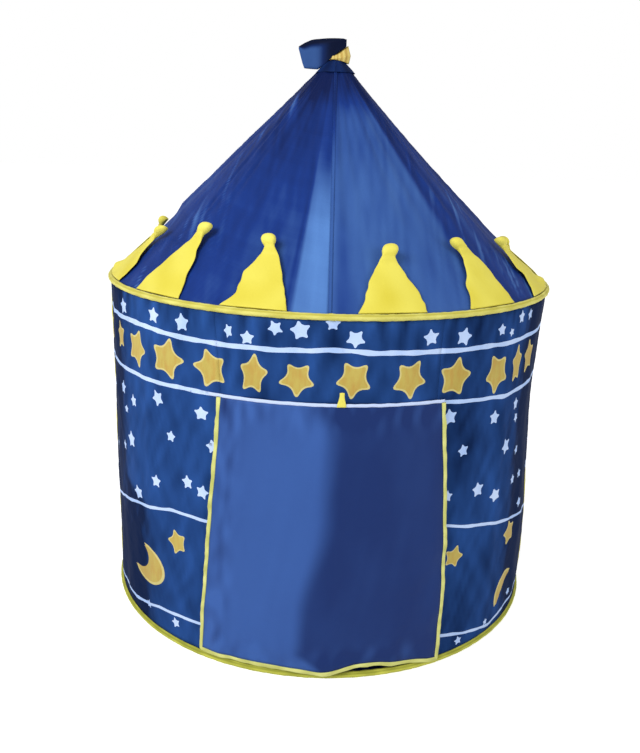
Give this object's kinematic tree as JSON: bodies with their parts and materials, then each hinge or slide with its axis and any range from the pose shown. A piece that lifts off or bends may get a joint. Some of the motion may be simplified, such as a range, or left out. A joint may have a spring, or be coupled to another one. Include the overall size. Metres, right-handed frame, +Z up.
{
  "type": "play tent",
  "caption": "Round children's play tent with a conical roof, padded crown points round the eaves, a lift-up door flap and a small flag on the peak.",
  "frame": {"origin": "on the floor, on the tent's upright axis, at the underside of the ground sheet", "axes": "+Z up along the tent's axis; the doorway faces -Y; +X is the tent's right side seen from the front"},
  "size_m": [1.051, 1.0511, 1.3156],
  "materials": {
    "blue_cloth": "satin",
    "printed_cloth": "satin",
    "yellow_cloth": "matte",
    "yellow_tape": "matte",
    "white_tape": "matte",
    "white_plastic": "satin",
    "black_plastic": "satin",
    "hoop_fibre": "satin"
  },
  "bodies": {
    "tent": {"apex_cap": "blue_cloth", "apex_hub": "white_plastic", "base_binding_back": "yellow_tape", "base_binding_front": "yellow_tape", "base_hoop": "hoop_fibre", "base_hoop_splice": "white_plastic", "door_header_tape": "white_tape", "door_tie_tab": "yellow_cloth", "doorway_binding_left": "yellow_tape", "doorway_binding_right": "yellow_tape", "eave_binding_back": "yellow_tape", "eave_binding_front": "yellow_tape", "eave_elbow_back_left": "white_plastic", "eave_elbow_back_right": "white_plastic", "eave_elbow_front_left": "white_plastic", "eave_elbow_front_right": "white_plastic", "eave_hoop": "hoop_fibre", "eave_hoop_splice": "white_plastic", "finial": "black_plastic", "foot_cup_back_left": "white_plastic", "foot_cup_back_right": "white_plastic", "foot_cup_front_left": "white_plastic", "foot_cup_front_right": "white_plastic", "ground_sheet": "blue_cloth", "roof_panel_back_left": "blue_cloth", "roof_panel_back_right": "blue_cloth", "roof_panel_front_left": "blue_cloth", "roof_panel_front_right": "blue_cloth", "roof_pole_back_left": "white_plastic", "roof_pole_back_right": "white_plastic", "roof_pole_front_left": "white_plastic", "roof_pole_front_right": "white_plastic", "side_piping_left": "yellow_tape", "side_piping_right": "yellow_tape", "wall_back_left": "printed_cloth", "wall_back_right": "printed_cloth", "wall_front_left": "printed_cloth", "wall_front_right": "printed_cloth", "wall_lintel": "printed_cloth", "wall_pole_back_left": "white_plastic", "wall_pole_back_right": "white_plastic", "wall_pole_front_left": "white_plastic", "wall_pole_front_right": "white_plastic"},
    "door": {"door_flap": "blue_cloth", "door_flap_binding": "yellow_tape"},
    "flag_top": {"flag": "blue_cloth", "flag_collar": "yellow_cloth"},
    "spike_01": {"crown_spike_01": "yellow_cloth"},
    "spike_02": {"crown_spike_02": "yellow_cloth"},
    "spike_03": {"crown_spike_03": "yellow_cloth"},
    "spike_04": {"crown_spike_04": "yellow_cloth"},
    "spike_05": {"crown_spike_05": "yellow_cloth"},
    "spike_06": {"crown_spike_06": "yellow_cloth"},
    "spike_07": {"crown_spike_07": "yellow_cloth"},
    "spike_08": {"crown_spike_08": "yellow_cloth"},
    "spike_09": {"crown_spike_09": "yellow_cloth"},
    "spike_10": {"crown_spike_10": "yellow_cloth"},
    "spike_11": {"crown_spike_11": "yellow_cloth"},
    "spike_12": {"crown_spike_12": "yellow_cloth"},
    "spike_13": {"crown_spike_13": "yellow_cloth"}
  },
  "joints": [
    {"name": "door_lift", "type": "hinge", "parent": "tent", "child": "door", "pos_m": [0, -0.518, 0.603], "axis": [-1, 0, 0], "range_deg": [0, 110]},
    {"name": "flag_swivel", "type": "hinge", "parent": "tent", "child": "flag_top", "pos_m": [0, 0, 1.29], "axis": [0, 0, 1], "continuous": true},
    {"name": "spike_01_fold", "type": "hinge", "parent": "tent", "child": "spike_01", "pos_m": [0.1083, -0.5054, 0.7837], "axis": [0.9778, 0.2096, 0], "range_deg": [0, 150]},
    {"name": "spike_02_fold", "type": "hinge", "parent": "tent", "child": "spike_02", "pos_m": [0.3309, -0.3972, 0.7839], "axis": [0.7684, 0.64, 0], "range_deg": [0, 150]},
    {"name": "spike_03_fold", "type": "hinge", "parent": "tent", "child": "spike_03", "pos_m": [0.4775, -0.1979, 0.7838], "axis": [0.3829, 0.9238, 0], "range_deg": [0, 150]},
    {"name": "spike_04_fold", "type": "hinge", "parent": "tent", "child": "spike_04", "pos_m": [0.5147, 0.0466, 0.7837], "axis": [-0.0902, 0.9959, 0], "range_deg": [0, 150]},
    {"name": "spike_05_fold", "type": "hinge", "parent": "tent", "child": "spike_05", "pos_m": [0.4342, 0.2806, 0.7838], "axis": [-0.5427, 0.8399, 0], "range_deg": [0, 150]},
    {"name": "spike_06_fold", "type": "hinge", "parent": "tent", "child": "spike_06", "pos_m": [0.2541, 0.4502, 0.7838], "axis": [-0.8709, 0.4915, 0], "range_deg": [0, 150]},
    {"name": "spike_07_fold", "type": "hinge", "parent": "tent", "child": "spike_07", "pos_m": [0.0157, 0.5166, 0.7837], "axis": [-0.9995, 0.0305, 0], "range_deg": [0, 150]},
    {"name": "spike_08_fold", "type": "hinge", "parent": "tent", "child": "spike_08", "pos_m": [-0.2262, 0.4648, 0.7838], "axis": [-0.8992, -0.4375, 0], "range_deg": [0, 150]},
    {"name": "spike_09_fold", "type": "hinge", "parent": "tent", "child": "spike_09", "pos_m": [-0.4163, 0.3065, 0.7838], "axis": [-0.5929, -0.8053, 0], "range_deg": [0, 150]},
    {"name": "spike_10_fold", "type": "hinge", "parent": "tent", "child": "spike_10", "pos_m": [-0.5109, 0.0779, 0.7837], "axis": [-0.1507, -0.9886, 0], "range_deg": [0, 150]},
    {"name": "spike_11_fold", "type": "hinge", "parent": "tent", "child": "spike_11", "pos_m": [-0.4886, -0.1685, 0.7837], "axis": [0.3259, -0.9454, 0], "range_deg": [0, 150]},
    {"name": "spike_12_fold", "type": "hinge", "parent": "tent", "child": "spike_12", "pos_m": [-0.3545, -0.3764, 0.7839], "axis": [0.728, -0.6856, 0], "range_deg": [0, 150]},
    {"name": "spike_13_fold", "type": "hinge", "parent": "tent", "child": "spike_13", "pos_m": [-0.1389, -0.4978, 0.7837], "axis": [0.9632, -0.2688, 0], "range_deg": [0, 150]}
  ]
}
